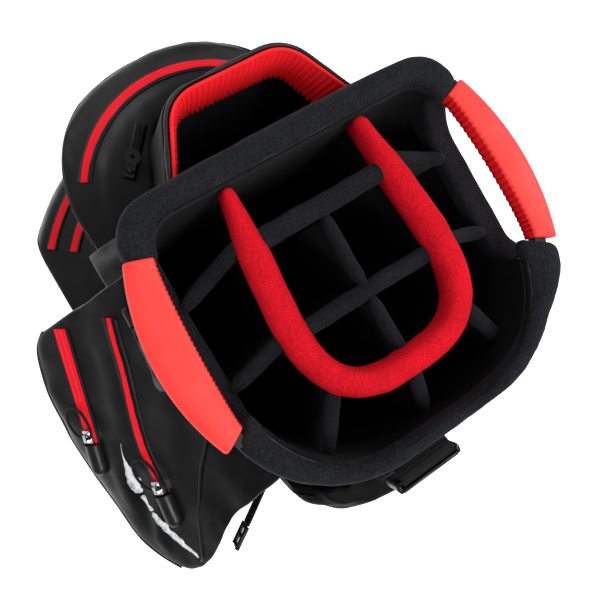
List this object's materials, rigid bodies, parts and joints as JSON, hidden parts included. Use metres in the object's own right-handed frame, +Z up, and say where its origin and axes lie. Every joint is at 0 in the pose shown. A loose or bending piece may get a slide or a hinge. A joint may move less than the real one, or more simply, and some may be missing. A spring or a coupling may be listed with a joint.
{
  "type": "golf cart bag",
  "caption": "Upright golf cart bag with a divided club well, an outside putter well, two rubber lift grips, zipped side and front pockets, a shoulder strap and a moulded base.",
  "frame": {"origin": "centre of the sole on the ground, under the middle of the two lift handles", "axes": "+Z up along the bag, +X towards the right-hand lift handle, +Y towards the spine and the shoulder strap, -Y towards the putter well and the front pockets"},
  "size_m": [0.528, 0.508, 0.88],
  "materials": {
    "collar_plastic": "matte",
    "rim_mesh": "matte",
    "grip_rubber": "satin",
    "divider_mesh": "matte",
    "divider_red": "matte",
    "liner_red": "satin",
    "casing_plastic": "satin",
    "body_fabric": "matte",
    "pocket_fabric": "satin",
    "zip_red": "satin",
    "zip_black": "matte",
    "slider_metal": "satin",
    "cord_black": "matte",
    "garage_rubber": "satin",
    "pull_rubber": "satin",
    "base_plastic": "matte",
    "tread_rubber": "matte",
    "stay_alloy": "satin",
    "rivet_steel": "satin",
    "loop_plastic": "gloss",
    "webbing": "matte",
    "strap_pad": "matte"
  },
  "bodies": {
    "bag": {"top_collar": "collar_plastic", "rim_pad_front": "rim_mesh", "rim_pad_rear": "rim_mesh", "lift_grip_right": "grip_rubber", "lift_grip_left": "grip_rubber", "u_divider_panel": "divider_mesh", "u_divider_pad": "divider_red", "cross_divider_front": "divider_mesh", "cross_divider_rear": "divider_mesh", "spine_divider": "divider_mesh", "radial_divider_front_right": "divider_mesh", "radial_divider_front_left": "divider_mesh", "radial_divider_middle_right": "divider_mesh", "radial_divider_middle_left": "divider_mesh", "radial_divider_rear_right": "divider_mesh", "radial_divider_rear_left": "divider_mesh", "radial_divider_centre": "divider_mesh", "putter_well_liner": "liner_red", "putter_well_casing": "casing_plastic", "putter_tube": "body_fabric", "body_shell": "body_fabric", "base_moulding": "base_plastic", "base_tread": "tread_rubber", "stay_rods": "stay_alloy", "base_rivets": "rivet_steel", "front_upper_pocket": "pocket_fabric", "front_lower_pocket": "pocket_fabric", "side_pocket_right": "pocket_fabric", "side_pocket_left": "pocket_fabric", "zip_garages": "garage_rubber", "zip_outer_right": "zip_red", "zip_outer_left": "zip_red", "zip_inner_right": "zip_red", "zip_inner_left": "zip_red", "zip_front_upper": "zip_red", "zip_front_lower": "zip_red", "zip_front_middle": "zip_red", "zip_valuables": "zip_black", "umbrella_bracket": "loop_plastic", "shoulder_strap": "strap_pad", "strap_webbing": "webbing"},
    "outer_slider_right": {"slider_outer_right": "slider_metal", "cord_outer_right": "cord_black"},
    "outer_slider_left": {"slider_outer_left": "slider_metal", "cord_outer_left": "cord_black"},
    "inner_slider_right": {"slider_inner_right": "slider_metal", "cord_inner_right": "cord_black"},
    "inner_slider_left": {"slider_inner_left": "slider_metal", "cord_inner_left": "cord_black"},
    "front_upper_slider": {"slider_front_upper": "slider_metal"},
    "front_upper_pull": {"pull_front_upper": "pull_rubber"},
    "front_lower_slider": {"slider_front_lower": "slider_metal"},
    "front_lower_pull": {"pull_front_lower": "pull_rubber"},
    "front_middle_slider": {"slider_front_middle": "slider_metal"},
    "front_middle_pull": {"pull_front_middle": "pull_rubber"},
    "valuables_slider": {"slider_valuables": "slider_metal"},
    "valuables_pull": {"pull_ring_valuables": "pull_rubber"},
    "umbrella_loop": {"umbrella_loop": "loop_plastic"},
    "strap_buckle": {"strap_buckle": "loop_plastic"},
    "tab_buckle": {"tab_buckle": "loop_plastic"}
  },
  "joints": [
    {"name": "outer_zip_slide_right", "type": "slide", "parent": "bag", "child": "outer_slider_right", "axis": [0.281, 0.9177, -0.281], "range_m": [-0.0917, 0]},
    {"name": "outer_zip_slide_left", "type": "slide", "parent": "bag", "child": "outer_slider_left", "axis": [-0.281, 0.9177, -0.281], "range_m": [-0.0917, 0]},
    {"name": "inner_zip_turn_right", "type": "hinge", "parent": "bag", "child": "inner_slider_right", "pos_m": [-0.13695, 0.19622, 1.10695], "axis": [0.7071, 0, 0.7071], "range_deg": [-16.39, 0]},
    {"name": "inner_zip_turn_left", "type": "hinge", "parent": "bag", "child": "inner_slider_left", "pos_m": [0.13695, 0.19622, 1.03195], "axis": [0.7071, 0, -0.7071], "range_deg": [-16.39, 0]},
    {"name": "front_upper_zip_turn", "type": "hinge", "parent": "bag", "child": "front_upper_slider", "pos_m": [0.033, -0.099, 0.78], "axis": [0, 0, 1], "range_deg": [0, 107.3]},
    {"name": "front_upper_pull_flip", "type": "hinge", "parent": "front_upper_slider", "child": "front_upper_pull", "pos_m": [-0.06673, -0.17237, 0.75877], "axis": [-0.6971, -0.5129, -0.501], "range_deg": [0, 160]},
    {"name": "front_lower_zip_turn", "type": "hinge", "parent": "bag", "child": "front_lower_slider", "pos_m": [0, -0.004, 0.78], "axis": [0, 0, 1], "range_deg": [0, 96.9]},
    {"name": "front_lower_pull_flip", "type": "hinge", "parent": "front_lower_slider", "child": "front_lower_pull", "pos_m": [-0.20059, -0.18159, 0.53602], "axis": [-0.642, -0.5684, -0.5145], "range_deg": [0, 160]},
    {"name": "front_middle_zip_turn", "type": "hinge", "parent": "bag", "child": "front_middle_slider", "pos_m": [0, -0.004, 0.78], "axis": [0, 0, 1], "range_deg": [0, 96.6]},
    {"name": "front_middle_pull_flip", "type": "hinge", "parent": "front_middle_slider", "child": "front_middle_pull", "pos_m": [-0.17913, -0.16359, 0.55282], "axis": [-0.6402, -0.5704, -0.5145], "range_deg": [0, 160]},
    {"name": "valuables_zip_slide", "type": "slide", "parent": "bag", "child": "valuables_slider", "axis": [-0.6656, -0.7463, 0], "range_m": [0, 0.0355]},
    {"name": "valuables_pull_flip", "type": "hinge", "parent": "valuables_slider", "child": "valuables_pull", "pos_m": [0.09634, -0.15322, 0.7676], "axis": [-0.7463, 0.6656, 0], "range_deg": [0, 160]},
    {"name": "umbrella_loop_fold", "type": "hinge", "parent": "bag", "child": "umbrella_loop", "pos_m": [0.15672, -0.016, 0.82035], "axis": [0, -1, 0], "range_deg": [0, 100]},
    {"name": "strap_buckle_slide", "type": "slide", "parent": "bag", "child": "strap_buckle", "axis": [0, 0, -1], "range_m": [0, 0.028]},
    {"name": "tab_buckle_swing", "type": "hinge", "parent": "bag", "child": "tab_buckle", "pos_m": [0.166, 0.152, 0.777], "axis": [0, 0, 1], "range_deg": [-20, 50]}
  ]
}
